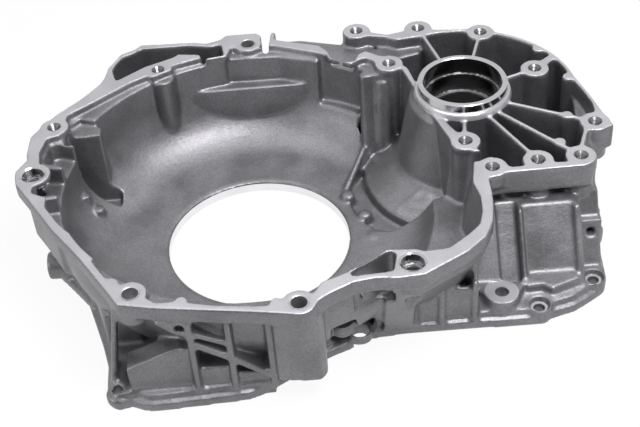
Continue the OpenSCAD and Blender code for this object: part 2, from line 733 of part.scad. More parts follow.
// Details that stand on the bowl, cut to its surface
module bowl_details() {
    intersection() {
        bowl_solid(bite);
        union() {
            // Flat pad at the back
            slab(0, pad_top) translate([-bell_r * 0.4, bell_r - pad_inset])
                square([bell_r * 0.8, bell_r * 0.2]);
            // Small lugs beside the slot at the left
            peg(on_bell([166.1, -4.6]), 5, 35, 45);
            peg(on_bell([166.3, -15.5]), 5, 20, 32);
            // Half-round column below the rear left bolt
            peg(on_bell(bell_threads[1]) * 0.975, column_r, 0, ledge_z);
            slab(0, ledge_z - 6) bell_polygon(left_ledge);
        }
    }
}

// Hollows cut in the bell wall: the recesses at the back, the bay and the left side
module wall_cuts() {
    slab(pad_top, ledge_z) bell_polygon(recess_edge);
    // Recessed stretch of wall between the back and the gear bay
    slab(blend_z - 17, ledge_z) intersection() {
        circle(r = bell_r + 5.5, $fn = 120);
        bell_polygon([[66.5, 40], [50.5, 40], [50.5, -20], [66.5, -20]]);
    }
    slab(bay_z, ledge_z + cut) bell_polygon(gear_bay);
    for (p = left_pockets) slab(ledge_z - 16, ledge_z + cut) bell_polygon(p);
    slab(ledge_z - 6, ledge_z + cut) bell_polygon(left_ledge);
    translate([-bell_r - 1, 50, 13]) cube([37, 16, bell_h - 13 - ledge_drop]);
}

// Threaded hole with its countersink, at the face
module threaded_hole(p) {
    peg(p, thread_r, bell_h - thread_depth, bell_h + cut);
    translate([p[0], p[1], bell_h - (sink_r - thread_r)])
        cylinder(r1 = thread_r, r2 = sink_r, h = sink_r - thread_r);
}

module plain_hole(p) {
    peg(on_bell(p), clear_r, p[2], bell_h + cut);
}

// Dowel seat: counterbore with a bevelled edge and a through hole
module dowel_seat(p) {
    peg(p, dowel_hole_r, lobe_z - wall - cut, bell_h + cut);
    peg(p, dowel_r, bell_h - dowel_depth, bell_h + cut);
    translate([p[0], p[1], bell_h - dowel_bevel])
        cylinder(r1 = dowel_r, r2 = dowel_r + dowel_bevel, h = dowel_bevel);
}

// Bore of the output ring: bearing seat, inner bore and shaft passage
module output_bore() {
    peg(out_pos, ring_bore_r, ring_top - seat_depth, ring_top + cut);
    peg(out_pos, inner_bore_r, ring_top - inner_depth, ring_top);
    peg(out_pos, shaft_r, -cut, ring_top);
}

module hub_hole() {
    translate([0, 0, -cut]) cylinder(r = hub_r, h = bell_h, $fn = 120);
    translate([0, 0, hub_z - hub_bevel + 0.3])
        cylinder(r1 = hub_r, r2 = hub_r + hub_bevel + cut, h = hub_bevel + cut, $fn = 120);
}

module small_holes() {
    for (p = base_bolts) peg(p, base_hole_r, -cut, step_h + 2 * cut);
    // Spot faces round the two joint bolts in front
    for (i = [0, 1]) peg(on_foot(foot_bolts[i]), base_boss_r - 1.5, base_t + 1.5, foot_wall_h);
    translate(concat(on_foot(side_boss_at - [0, 12]), side_boss_z)) rotate([-90, 0, 0])
        cylinder(r = 3.3, h = 25);
    peg(on_foot(pad_pos), pad_hole_r, -cut, pad_h + cut);
    peg(socket_at, socket_bore_r, -cut, 14 + cut);
    peg(stud_at, stud_bore_r, stud_z - 9, stud_z + cut);
    translate([-bell_r - 21 - cut, -18, port_r + 4]) rotate([0, 90, 0])
        cylinder(r = port_bore_r, h = 22);
    translate([-54.5, -rib_face, 77]) rotate([-90, 0, 0]) cylinder(r = 3.6, h = 30);
}

// Radial ribs under the bowl, between its floor and the outer wall
module floor_ribs() {
    difference() {
        slab(2, apron_h - wall) for (a = [85 : 30 : 205])
            rotate(a) translate([hub_r + 22, -2.5]) square([bell_r - hub_r - 26, 5]);
        bowl_solid(bite);
    }
}

module housing() color("silver") {
    difference() {
        union() {
            difference() {
                union() {
                    face_plate();
                    bowl_solid(wall);
                    base_body();
                    bell_columns();
                    lobe_body();
                    slab(bell_h - pocket_depth - wall, flange_z + bite) bell_polygon(rear_edge);
                    slab(13 - wall, flange_z + bite) bell_polygon([[146, -32], [152, 22], [162, 24],
                        [168, -32]]);
                    slab(apron_h - bite, flange_z + bite) bell_polygon(left_edge);
                    case_body();
                    front_ribs();
                    front_blocks();
                    for (p = base_bolts) peg(p, base_boss_r, 0, base_t + 1.5);
                    left_port();
                    floor_ribs();
                    slab(0, bay_z + wall) offset(delta = wall) bell_polygon(gear_bay);
                }
                bowl_solid(0);
                mouth_cut();
                lobe_cut();
                chamber_cut();
                shelf_cut();
                slab(bell_h - pocket_depth, bell_h + cut) bell_polygon(rear_pocket);
                slab(flange_z - 24, bell_h + cut) bell_polygon(side_pocket);
                wall_cuts();
                niche_cut();
                round_recess();
            }
            front_sockets();
            dome();
            bay_details();
            bowl_details();
            // Pilot lip round the hole, down to the joint face
            cylinder(r = hub_r + wall, h = hub_z - wall + bite, $fn = 120);
        }
        // Hollow under the case and the dome
        translate(out_pos) rotate_extrude($fn = 96) intersection() {
            dome_section(wall);
            square([case_r, chamber_z - wall]);
        }
        hub_hole();
        output_bore();
        for (p = bell_threads) threaded_hole(on_bell(p));
        for (p = case_threads) threaded_hole(on_case(p));
        for (p = bell_plain) plain_hole(p);
        for (p = dowels) dowel_seat(on_bell(p));
        small_holes();
    }
}

housing();
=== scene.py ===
"""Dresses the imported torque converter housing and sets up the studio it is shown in.

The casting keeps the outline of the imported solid. Its surface is rebuilt with the soft, rounded edges
of a die casting, while the machined faces and the bores stay crisp and get their own finish.
"""

import logging
import math
from dataclasses import dataclass, field
from enum import Enum
from typing import Sequence

import bpy
import numpy as np
from mathutils import Matrix, Vector


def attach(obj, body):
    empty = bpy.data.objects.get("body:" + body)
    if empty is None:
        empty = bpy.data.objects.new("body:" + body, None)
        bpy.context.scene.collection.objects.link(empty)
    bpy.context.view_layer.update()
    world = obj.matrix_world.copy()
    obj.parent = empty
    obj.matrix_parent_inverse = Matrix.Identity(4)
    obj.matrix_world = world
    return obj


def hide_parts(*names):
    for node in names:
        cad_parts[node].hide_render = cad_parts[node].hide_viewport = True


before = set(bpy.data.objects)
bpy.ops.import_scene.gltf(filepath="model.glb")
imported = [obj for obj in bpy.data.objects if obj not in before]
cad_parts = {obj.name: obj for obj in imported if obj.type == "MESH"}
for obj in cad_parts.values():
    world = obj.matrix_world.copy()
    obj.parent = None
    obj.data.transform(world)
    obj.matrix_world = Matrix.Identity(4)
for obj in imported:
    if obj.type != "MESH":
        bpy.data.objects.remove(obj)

log = logging.getLogger("housing")
logging.basicConfig(level=logging.INFO, format="%(name)s: %(message)s")

MM = 0.001


@dataclass(frozen=True)
class Layout:
    """Sizes of the solid that the looks depend on, in millimetres.

    Attributes:
        face: Height of the machined bell and case face above the joint face.
        axis_gap: Distance between the converter axis and the output axis.
        axis_angle: Direction of the output axis seen from the converter axis, in degrees.
        bell: Inner radius of the bell wall, which the bell's bolt places are set out from.
        case: Outer radius of the output case, which its bolt places are set out from.
        hub: Radius of the round hole in the bowl floor.
        hub_top: Height at which the bevel of that hole begins.
        foot_reach: Distance from the output axis to the front edge of the foot.
        ring: Outer radius of the bearing ring.
        ring_high: Height of the ring's upper face above the case face.
        ring_bevel: Bevel at the ring's edges.
        seat: Radius of the bearing seat in the ring.
        seat_deep: Depth of the seat, and again of the bore below it.
        bore: Radius of the bore below the seat.
        passage: Radius of the shaft passage below the bore.
        thread: Radius of the bolt holes before the thread is cut.
        sink: Radius of their countersink.
        clear: Radius of the plain bolt holes.
        dowel: Radius of the dowel seats.
        bell_deep: Depth to which the threads in the bell face are lined.
        case_deep: Depth to which the threads in the case face are lined.
        dowel_deep: Depth to which the dowel seats are lined.
    """

    face: float = 97.0
    axis_gap: float = 197.5
    axis_angle: float = 21.0
    bell: float = 157.0
    case: float = 99.5
    hub: float = 78.0
    hub_top: float = 7.8
    foot_reach: float = 188.0
    ring: float = 38.2
    ring_high: float = 12.4
    ring_bevel: float = 0.8
    seat: float = 33.3
    seat_deep: float = 16.0
    bore: float = 30.5
    passage: float = 25.0
    thread: float = 4.3
    sink: float = 5.4
    clear: float = 6.4
    dowel: float = 9.0
    bell_deep: float = 26.0
    case_deep: float = 23.0
    dowel_deep: float = 10.0

    def ring_top(self) -> float:
        """Returns:
            Height of the bearing ring's upper face.
        """
        return self.face + self.ring_high

    def output(self) -> tuple[float, float]:
        """Returns:
            Place of the output axis in plan.
        """
        return polar((0.0, 0.0), self.axis_gap, self.axis_angle)

    def on_bell(self, angle: float, out: float) -> tuple[float, float]:
        """Args:
            angle: Direction from the converter axis, in degrees.
            out: Distance outside the bell's inner wall.

        Returns:
            The place in plan.
        """
        return polar((0.0, 0.0), self.bell + out, angle)

    def on_case(self, angle: float, out: float) -> tuple[float, float]:
        """Args:
            angle: Direction from the output axis, in degrees.
            out: Distance outside the case's outer wall.

        Returns:
            The place in plan.
        """
        return polar(self.output(), self.case + out, angle)

    def on_foot(self, x: float, y: float) -> tuple[float, float]:
        """Args:
            x: Distance to the right of the output axis.
            y: Distance behind the front edge of the foot.

        Returns:
            The place in plan.
        """
        ox, oy = self.output()
        return ox + x, oy + y - self.foot_reach


def polar(centre: tuple[float, float], radius: float, angle: float) -> tuple[float, float]:
    """Args:
        centre: Centre in plan.
        radius: Distance from it.
        angle: Direction, in degrees.

    Returns:
        The place in plan.
    """
    a = math.radians(angle)
    return centre[0] + radius * math.cos(a), centre[1] + radius * math.sin(a)


def spread(points: np.ndarray, place: tuple[float, float]) -> np.ndarray:
    """Args:
        points: Points, in millimetres.
        place: An upright axis in plan.

    Returns:
        Distance of each point from the axis.
    """
    return np.hypot(points[:, 0] - place[0], points[:, 1] - place[1])


LAYOUT = Layout()

# Direction in degrees and distance outside the bell's inner wall
BELL_THREADS = ((157.8, 23.6), (119.5, 8.0), (44.4, 19.6))
DOWELS = ((178.5, 20.9), (311.1, 23.7))

# Direction in degrees, distance outside the bell's inner wall, and depth of the lining
BELL_HOLES = ((89.9, 17.3, 46.0), (238.6, 13.0, 22.0), (281.4, 14.6, 74.5))

# Direction in degrees and distance outside the output case's outer wall
CASE_THREADS = (
    (127.0, 38.5),
    (103.8, 10.0),
    (72.2, -3.5),
    (21.7, -27.0),
    (331.1, 17.0),
    (309.4, 28.6),
    (295.0, 11.0),
    (264.1, -31.0),
    (275.1, 5.6),
)


class Hole(Enum):
    """Kinds of machined hole in the casting."""

    THREAD = "thread"
    CLEAR = "clear"
    DOWEL = "dowel"


@dataclass(frozen=True)
class Drilling:
    """One machined hole.

    Attributes:
        kind: What the hole is for.
        place: Its axis in plan, in millimetres.
        radius: Radius of its wall.
        top: Height of its mouth.
        depth: Depth of its lining.
        sink: Radius of the countersink or of the bevel at the mouth.
    """

    kind: Hole
    place: tuple[float, float]
    radius: float
    top: float
    depth: float
    sink: float


def drillings() -> list[Drilling]:
    """Returns:
        The bolt holes and dowel seats in the bell face and the case face.
    """
    lay = LAYOUT
    out: list[Drilling] = []
    rows = ((lay.on_bell, BELL_THREADS, lay.bell_deep), (lay.on_case, CASE_THREADS, lay.case_deep))
    for at, bolts, depth in rows:
        for bolt in bolts:
            out.append(Drilling(Hole.THREAD, at(*bolt), lay.thread, lay.face, depth, lay.sink))
    for angle, reach, depth in BELL_HOLES:
        place = lay.on_bell(angle, reach)
        out.append(Drilling(Hole.CLEAR, place, lay.clear, lay.face, depth, lay.clear + 0.4))
    for spot in DOWELS:
        place, mouth = lay.on_bell(*spot), lay.dowel + 1.0
        out.append(Drilling(Hole.DOWEL, place, lay.dowel, lay.face, lay.dowel_deep, mouth))
    return out


@dataclass(frozen=True)
class Wall:
    """A round machined wall that a lining covers, so that the casting draws back behind it.

    Attributes:
        place: Its axis in plan, in millimetres.
        radius: Its radius.
        low: Height of its lower end.
        high: Height of its upper end.
        back: Distance that the casting draws back; negative where the metal is inside the wall.
        band: Distance from the wall within which a point counts as lying on it.
    """

    place: tuple[float, float]
    radius: float
    low: float
    high: float
    back: float = 0.4
    band: float = 1.3

    def clear(self, points: np.ndarray) -> None:
        """Moves the casting's points that lie near the wall behind it.

        Args:
            points: Points of the casting, in millimetres, which are changed.
        """
        reach = spread(points, self.place)
        z = points[:, 2]
        near = (np.abs(reach - self.radius) < self.band) & (z > self.low) & (z < self.high)
        goal = self.radius + self.back
        wrong = near & ((reach < goal) if self.back > 0 else (reach > goal))
        scale = goal / reach[wrong]
        for k in range(2):
            points[wrong, k] = self.place[k] + (points[wrong, k] - self.place[k]) * scale


def walls() -> list[Wall]:
    """Returns:
        Every round machined wall that has a lining.
    """
    out: list[Wall] = []
    for hole in drillings():
        drop = hole.sink - hole.radius
        out.append(Wall(hole.place, hole.radius, hole.top - hole.depth, hole.top - drop))
        out.append(Wall(hole.place, hole.sink, hole.top - drop, hole.top + 1.0))
    lay = LAYOUT
    axis, above = lay.output(), lay.ring_top() + 2.6
    seat_low = lay.ring_top() - lay.seat_deep + 0.2
    bore_low = seat_low - lay.seat_deep
    out += [
        Wall(axis, lay.seat, seat_low, above),
        Wall(axis, lay.bore, bore_low, seat_low),
        Wall(axis, lay.passage, 30.0, bore_low),
        Wall(axis, lay.ring, lay.face + 5.5, above, -0.4),
        Wall((0.0, 0.0), lay.hub, -1.0, lay.hub_top - 0.4),
    ]
    return out


@dataclass(frozen=True)
class Spot:
    """A round machined spot on a boss.

    Attributes:
        place: Its centre in plan, in millimetres.
        radius: Its radius.
        height: Height of its face.
    """

    place: tuple[float, float]
    radius: float
    height: float


def spots() -> list[Spot]:
    """Returns:
        The machined spots below the bell face: the pad, two foot bolts, the socket and the stud.
    """
    lay = LAYOUT
    return [
        Spot(lay.on_foot(8.4, 17.5), 13.5, 22.0),
        Spot(lay.on_foot(37.2, 9.0), 7.8, 9.5),
        Spot(lay.on_foot(86.0, 35.0), 7.8, 9.5),
        Spot((77.5, -120.0), 10.6, 14.0),
        Spot((64.0, -128.7), 9.1, 34.0),
    ]


class Wire:
    """A node output that can be used in plain arithmetic.

    Args:
        tree: The node tree that the maths is added to.
        socket: The output, or a plain number.
    """

    def __init__(self, tree: bpy.types.NodeTree, socket: "bpy.types.NodeSocket | float") -> None:
        self.tree = tree
        self.socket = socket

    def _math(self, operation: str, *others: "Wire | float") -> "Wire":
        """Args:
            operation: Name of the operation.
            *others: What it takes besides this wire.

        Returns:
            The result.
        """
        node = self.tree.nodes.new("ShaderNodeMath")
        node.operation = operation
        for i, value in enumerate((self, *others)):
            plug(self.tree, value, node.inputs[i])
        return Wire(self.tree, node.outputs[0])

    def __add__(self, other: "Wire | float") -> "Wire":
        """Returns: The sum of the two values."""
        return self._math("ADD", other)

    def __sub__(self, other: "Wire | float") -> "Wire":
        """Returns: The difference of the two values."""
        return self._math("SUBTRACT", other)

    def __mul__(self, other: "Wire | float") -> "Wire":
        """Returns: The product of the two values."""
        return self._math("MULTIPLY", other)

    def power(self, other: float) -> "Wire":
        """Returns: The value raised to a power."""
        return self._math("POWER", other)

    def sine(self) -> "Wire":
        """Returns: The sine of the value."""
        return self._math("SINE")

    def rest(self) -> "Wire":
        """Returns: What the value leaves of 1."""
        return Wire(self.tree, 1.0)._math("SUBTRACT", self)

    def most(self, other: "Wire | float") -> "Wire":
        """Returns: The larger of the two values."""
        return self._math("MAXIMUM", other)

    def span(self, lo: float, hi: float, out_lo: float = 0.0, out_hi: float = 1.0) -> "Wire":
        """Maps a range of the value smoothly onto another range.

        Args:
            lo: Value that gives ``out_lo``.
            hi: Value that gives ``out_hi``.
            out_lo: Result at the low end.
            out_hi: Result at the high end.

        Returns:
            The mapped value, held within the range.
        """
        node = self.tree.nodes.new("ShaderNodeMapRange")
        node.interpolation_type = "SMOOTHSTEP"
        plug(self.tree, self, node.inputs["Value"])
        for name, value in (("From Min", lo), ("From Max", hi), ("To Min", out_lo), ("To Max", out_hi)):
            node.inputs[name].default_value = value
        return Wire(self.tree, node.outputs["Result"])

    def vary(self, low: float, high: float) -> "Wire":
        """Maps a noise, which keeps to the middle of its range, onto another range.

        Args:
            low: Result for the noise's low values.
            high: Result for its high values.

        Returns:
            The mapped noise.
        """
        return self.span(0.3, 0.7, low, high)


def plug(
    tree: bpy.types.NodeTree, value: "Wire | bpy.types.NodeSocket | float", target: bpy.types.NodeSocket
) -> None:
    """Joins a wire, a socket or a number to an input.

    Args:
        tree: The node tree.
        value: What the input takes.
        target: The input.
    """
    if isinstance(value, Wire):
        value = value.socket
    if isinstance(value, (int, float)):
        target.default_value = value
    else:
        tree.links.new(value, target)


def distance(x: Wire, y: Wire, place: tuple[float, float]) -> Wire:
    """Args:
        x: Position across, in metres.
        y: Position in depth, in metres.
        place: An upright axis in plan, in millimetres.

    Returns:
        Distance from the axis, in metres.
    """
    dx, dy = x - place[0] * MM, y - place[1] * MM
    return (dx * dx + dy * dy).power(0.5)


@dataclass
class Graph:
    """A material's node tree with short ways to add what the finishes need.

    Attributes:
        material: The material that is being made.
    """

    material: bpy.types.Material

    def __post_init__(self) -> None:
        """Turns the nodes on and finds the shader and the object coordinates."""
        self.material.use_nodes = True
        self.tree = self.material.node_tree
        self.shader = self.tree.nodes["Principled BSDF"]
        self.place = self.tree.nodes.new("ShaderNodeTexCoord").outputs["Object"]

    def axes(self) -> tuple[Wire, Wire, Wire]:
        """Returns:
            The object coordinates, in metres.
        """
        node = self.tree.nodes.new("ShaderNodeSeparateXYZ")
        self.tree.links.new(self.place, node.inputs[0])
        return tuple(Wire(self.tree, node.outputs[i]) for i in range(3))

    def noise(self, scale: float, detail: float = 2.0, rough: float = 0.5) -> Wire:
        """Args:
            scale: Cells per metre.
            detail: Number of finer layers.
            rough: Strength of the finer layers.

        Returns:
            Noise between 0 and 1.
        """
        node = self.tree.nodes.new("ShaderNodeTexNoise")
        self.tree.links.new(self.place, node.inputs["Vector"])
        node.inputs["Scale"].default_value = scale
        node.inputs["Detail"].default_value = detail
        node.inputs["Roughness"].default_value = rough
        return Wire(self.tree, node.outputs["Fac"])

    def grey(self, value: Wire, tint: tuple[float, float, float]) -> None:
        """Gives the base colour as one value with a fixed tint.

        Args:
            value: Lightness.
            tint: Colour that it is multiplied by.
        """
        node = self.tree.nodes.new("ShaderNodeCombineXYZ")
        for i in range(3):
            plug(self.tree, value * tint[i], node.inputs[i])
        self.tree.links.new(node.outputs[0], self.shader.inputs["Base Color"])

    def set(self, name: str, value: "Wire | float") -> None:
        """Args:
            name: Name of the shader's input.
            value: Number or wire for it.
        """
        plug(self.tree, value, self.shader.inputs[name])

    def bump(self, height: Wire, depth: float, strength: float) -> None:
        """Args:
            height: Height between 0 and 1.
            depth: Height that 1 stands for, in metres.
            strength: How much of it shows.
        """
        node = self.tree.nodes.new("ShaderNodeBump")
        node.inputs["Distance"].default_value = depth
        node.inputs["Strength"].default_value = strength
        plug(self.tree, height, node.inputs["Height"])
        self.tree.links.new(node.outputs[0], self.shader.inputs["Normal"])


@dataclass(frozen=True)
class Finish:
    """A surface finish.

    Attributes:
        name: Name of the material.
        light: Lightness of the metal; kept low in the bearing seat and the threaded holes, where it is
            painted shade.
        rough: Roughness.
        metal: Metallic share.
        tint: Colour of the metal.
    """

    name: str
    light: float
    rough: float
    metal: float
    tint: tuple[float, float, float] = (1.0, 0.99, 1.01)

    def make(self) -> bpy.types.Material:
        """Returns:
            The finished material.
        """
        material = bpy.data.materials.new(self.name)
        graph = Graph(material)
        graph.set("Metallic", self.metal)
        self.dress(graph)
        return material

    def dress(self, graph: Graph) -> None:
        """Adds what is special to this finish.

        Args:
            graph: The material's graph.
        """
        raise NotImplementedError


@dataclass(frozen=True)
class CastFinish(Finish):
    """Die-cast skin, with a lighter, smoother milled finish on the faces in a machined plane.

    Attributes:
        milled: Lightness of the milled faces.
        milled_rough: Roughness of the milled faces.
        cutter: Place in plan that the arcs of the cutter marks turn about, in millimetres.
        marks: Phase of the cutter marks for each metre, in radians.
    """

    milled: float = 0.40
    milled_rough: float = 0.48
    cutter: tuple[float, float] = (0.0, 900.0)
    marks: float = 5200.0

    def dress(self, graph: Graph) -> None:
        """Args:
            graph: The material's graph.
        """
        x, y, z = graph.axes()
        cut = self._cut(x, y, z)
        skin = cut.rest()
        mottle = graph.noise(26.0, 5.0, 0.6)
        patch = graph.noise(8.0, 2.0)
        grain = graph.noise(700.0, 3.0, 0.7)
        pits = graph.noise(240.0, 3.0, 0.6)
        haze = graph.noise(34.0, 3.0)
        fine = graph.noise(900.0, 2.0)
        cast = mottle.vary(0.84, 1.16) * patch.vary(0.95, 1.05) * grain.vary(0.82, 1.18) * self.light
        mill = haze.vary(0.94, 1.05) * fine.vary(0.96, 1.04) * self.milled
        graph.grey(cast * skin + mill * cut, self.tint)
        rough = mottle.vary(self.rough - 0.06, self.rough + 0.08) * skin
        rough += haze.vary(self.milled_rough - 0.03, self.milled_rough + 0.05) * cut
        graph.set("Roughness", rough)
        marks = (distance(x, y, self.cutter) * self.marks).sine()
        graph.bump((grain * 0.4 + pits * 0.6) * skin + (marks * 0.02 + fine * 0.04) * cut, 0.0009, 0.4)

    @staticmethod
    def _cut(x: Wire, y: Wire, z: Wire) -> Wire:
        """Args:
            x: Position across.
            y: Position in depth.
            z: Height.

        Returns:
            1 in the machined planes and 0 on the cast skin.
        """
        near, far = 0.3 * MM, 0.6 * MM
        face = LAYOUT.face * MM
        cut = z.span(face - far, face - near).most(z.span(near, far, 1.0, 0.0))
        for spot in spots():
            edge = spot.radius * MM
            inside = distance(x, y, spot.place).span(edge, edge + near, 1.0, 0.0)
            level = spot.height * MM
            above = z.span(level - far, level - near)
            below = z.span(level + near, level + far, 1.0, 0.0)
            cut = cut.most(inside * above * below)
        return cut


@dataclass(frozen=True)
class TurnedFinish(Finish):
    """Turned and polished metal with fine rings round its axis.

    Attributes:
        axis: Axis in plan, in millimetres.
        marks: Phase of the rings for each metre, in radians.
    """

    axis: tuple[float, float] = (0.0, 0.0)
    marks: float = 9000.0

    def dress(self, graph: Graph) -> None:
        """Args:
            graph: The material's graph.
        """
        x, y, z = graph.axes()
        rings = ((distance(x, y, self.axis) + z) * self.marks).sine()
        haze = graph.noise(60.0, 3.0)
        graph.grey(haze.vary(0.95, 1.03) * self.light, self.tint)
        graph.set("Roughness", haze.vary(self.rough - 0.03, self.rough + 0.05))
        graph.bump(rings * 0.5, 0.00003, 0.25)


CAST = CastFinish("cast_aluminium", 0.18, 0.40, 0.65, (1.0, 0.985, 1.045))
TURNED = TurnedFinish("turned_steel", 0.50, 0.16, 1.0, axis=LAYOUT.output())
# Seat and bore of the ring: the low lightness is painted shade for the inside of the deep bore, not the
# turned metal's own colour
SHADED_SEAT = TurnedFinish("bearing_seat_painted_shade", 0.16, 0.18, 1.0, axis=LAYOUT.output())
# Threaded holes: the dark base colour is painted shade standing in for the shade deep in the holes
SHADED_THREADS = TurnedFinish("drilled_aluminium_painted_shade", 0.17, 0.25, 1.0)
REAMED = TurnedFinish("reamed_aluminium", 0.42, 0.38, 0.8)
BORED = TurnedFinish("bored_aluminium", 0.86, 0.30, 1.0)


@dataclass
class Surface:
    """Quads gathered in numpy until they become one mesh.

    Attributes:
        points: Blocks of points, in millimetres.
        quads: Blocks of quads that refer to all the points so far.
        finish: Material number of each block of quads.
        count: Number of points so far.
    """

    points: list[np.ndarray] = field(default_factory=list)
    quads: list[np.ndarray] = field(default_factory=list)
    finish: list[np.ndarray] = field(default_factory=list)
    count: int = 0

    def lathe(
        self,
        place: tuple[float, float],
        profile: Sequence[tuple[float, float]],
        material: int,
        steps: int = 48,
    ) -> None:
        """Turns a profile round a vertical axis.

        Args:
            place: The axis in plan.
            profile: Radius and height of each point, from the outside to the inside.
            material: Number of the material.
            steps: Number of steps round the axis.
        """
        line = np.asarray(profile, float)
        turn = np.linspace(0.0, 2.0 * np.pi, steps, endpoint=False)
        grid = np.empty((len(line), steps, 3))
        grid[..., 0] = place[0] + line[:, :1] * np.cos(turn)
        grid[..., 1] = place[1] + line[:, :1] * np.sin(turn)
        grid[..., 2] = line[:, 1:2]
        row, col = np.meshgrid(np.arange(len(line) - 1) * steps, np.arange(steps), indexing="ij")
        near, far = row + col, row + (col + 1) % steps
        quad = np.stack([near, far, far + steps, near + steps], axis=-1).reshape(-1, 4)
        self.points.append(grid.reshape(-1, 3))
        self.quads.append(quad + self.count)
        self.finish.append(np.full(len(quad), material, np.int32))
        self.count += grid.shape[0] * steps

    def mesh(self, name: str, materials: Sequence[bpy.types.Material]) -> bpy.types.Object:
        """Args:
            name: Name of the object.
            materials: Its materials, in the order of their numbers.

        Returns:
            The new object, linked to the scene.
        """
        data = bpy.data.meshes.new(name)
        points = np.concatenate(self.points) * MM
        data.from_pydata(points.tolist(), [], np.concatenate(self.quads).tolist())
        for material in materials:
            data.materials.append(material)
        data.polygons.foreach_set("material_index", np.concatenate(self.finish))
        shade(data, crisp=32.0)
        piece = bpy.data.objects.new(name, data)
        bpy.context.scene.collection.objects.link(piece)
        return piece


def read_points(data: bpy.types.Mesh) -> np.ndarray:
    """Args:
        data: A mesh.

    Returns:
        Its points, in millimetres.
    """
    flat = np.empty(len(data.vertices) * 3, np.float32)
    data.vertices.foreach_get("co", flat)
    return flat.reshape(-1, 3).astype(float) / MM


def write_points(data: bpy.types.Mesh, points: np.ndarray) -> None:
    """Args:
        data: A mesh.
        points: Its new points, in millimetres.
    """
    data.vertices.foreach_set("co", (points * MM).astype(np.float32).ravel())
    data.update()


def shade(data: bpy.types.Mesh, crisp: float) -> None:
    """Shades a mesh smoothly, apart from its crisp edges.

    Args:
        data: The mesh.
        crisp: Angle from which an edge stays crisp, in degrees.
    """
    data.polygons.foreach_set("use_smooth", np.ones(len(data.polygons), bool))
    data.set_sharp_from_angle(angle=math.radians(crisp))
    data.update()


@dataclass
class Casting:
    """The cast body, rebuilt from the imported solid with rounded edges.

    Attributes:
        grid: Edge of the cells that the surface is rebuilt from, in millimetres.
        passes: Number of smoothing passes.
        strength: Share of the way to the neighbours' mean that a point moves in one pass.
        limit: Most triangles that the piece may keep.
    """

    grid: float = 1.25
    passes: int = 7
    strength: float = 0.6
    limit: int = 185_000

    def build(self, node: bpy.types.Object) -> bpy.types.Object:
        """Args:
            node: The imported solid.

        Returns:
            The dressed casting.
        """
        data = node.data.copy()
        data.name = "casting"
        data.transform(node.matrix_world)
        body = bpy.data.objects.new("casting", data)
        bpy.context.scene.collection.objects.link(body)
        self._apply(body, "REMESH", mode="VOXEL", voxel_size=self.grid * MM, adaptivity=0.0)
        log.info("rebuilt surface: %d points", len(body.data.vertices))
        self._smooth(body.data)
        faces = sum(len(p.vertices) - 2 for p in body.data.polygons)
        if faces > self.limit:
            self._apply(body, "DECIMATE", ratio=self.limit / faces)
        self._level(body.data)
        body.data.materials.clear()
        body.data.materials.append(CAST.make())
        shade(body.data, crisp=42.0)
        self._apply(body, "WEIGHTED_NORMAL", weight=60, keep_sharp=True)
        log.info("casting: %d faces", len(body.data.polygons))
        return body

    @staticmethod
    def _apply(body: bpy.types.Object, kind: str, **settings: "float | str") -> None:
        """Adds a modifier and applies it.

        Args:
            body: The object.
            kind: Kind of modifier.
            **settings: Its settings.
        """
        modifier = body.modifiers.new(kind.lower(), kind)
        for name, value in settings.items():
            setattr(modifier, name, value)
        graph = bpy.context.evaluated_depsgraph_get()
        made = bpy.data.meshes.new_from_object(body.evaluated_get(graph))
        old = body.data
        body.modifiers.clear()
        body.data = made
        bpy.data.meshes.remove(old)

    @staticmethod
    def _hold(points: np.ndarray) -> np.ndarray:
        """Args:
            points: Points of the surface, in millimetres.

        Returns:
            For each point and axis, 0 where it is machined and 1 where it may move.
        """
        lay = LAYOUT
        z = points[:, 2]
        hold = np.ones_like(points)
        # Faces and spots keep their height
        hold[(np.abs(z - lay.face) < 0.4) | (np.abs(z) < 0.4), 2] = 0.0
        for spot in spots():
            near = spread(points, spot.place) < spot.radius
            hold[near & (np.abs(z - spot.height) < 1.0), 2] = 0.0
        # The round hole, the ring and the drilled holes keep their place
        hold[(np.abs(spread(points, (0.0, 0.0)) - lay.hub) < 1.5) & (z < lay.hub_top + 3.2)] = 0.0
        hold[(spread(points, lay.output()) < lay.ring + 4.3) & (z > 60.0)] = 0.0
        for hole in drillings():
            near = spread(points, hole.place) < hole.radius + 1.5
            hold[near & (z > hole.top - hole.depth - 2.0)] = 0.0
        return hold

    def _smooth(self, data: bpy.types.Mesh) -> None:
        """Rounds the cast edges and corners.

        Args:
            data: The rebuilt surface.
        """
        points = read_points(data)
        hold = self._hold(points) * self.strength
        edges = np.empty(len(data.edges) * 2, np.int32)
        data.edges.foreach_get("vertices", edges)
        a, b = edges[0::2], edges[1::2]
        n = len(points)
        links = (np.bincount(a, minlength=n) + np.bincount(b, minlength=n)).clip(1)
        for _ in range(self.passes):
            mean = np.empty_like(points)
            for k in range(3):
                total = np.bincount(a, points[b, k], n) + np.bincount(b, points[a, k], n)
                mean[:, k] = total / links
            points += (mean - points) * hold
        write_points(data, points)

    @staticmethod
    def _level(data: bpy.types.Mesh) -> None:
        """Puts the machined faces back into their planes and the casting behind its linings.

        Args:
            data: The surface.
        """
        points = read_points(data)
        z = points[:, 2]
        for height in (LAYOUT.face, 0.0):
            z[np.abs(z - height) < 0.3] = height
        for wall in walls():
            wall.clear(points)
        for spot in spots():
            near = spread(points, spot.place) < spot.radius
            z[near & (np.abs(z - spot.height) < 0.8)] = spot.height
        write_points(data, points)


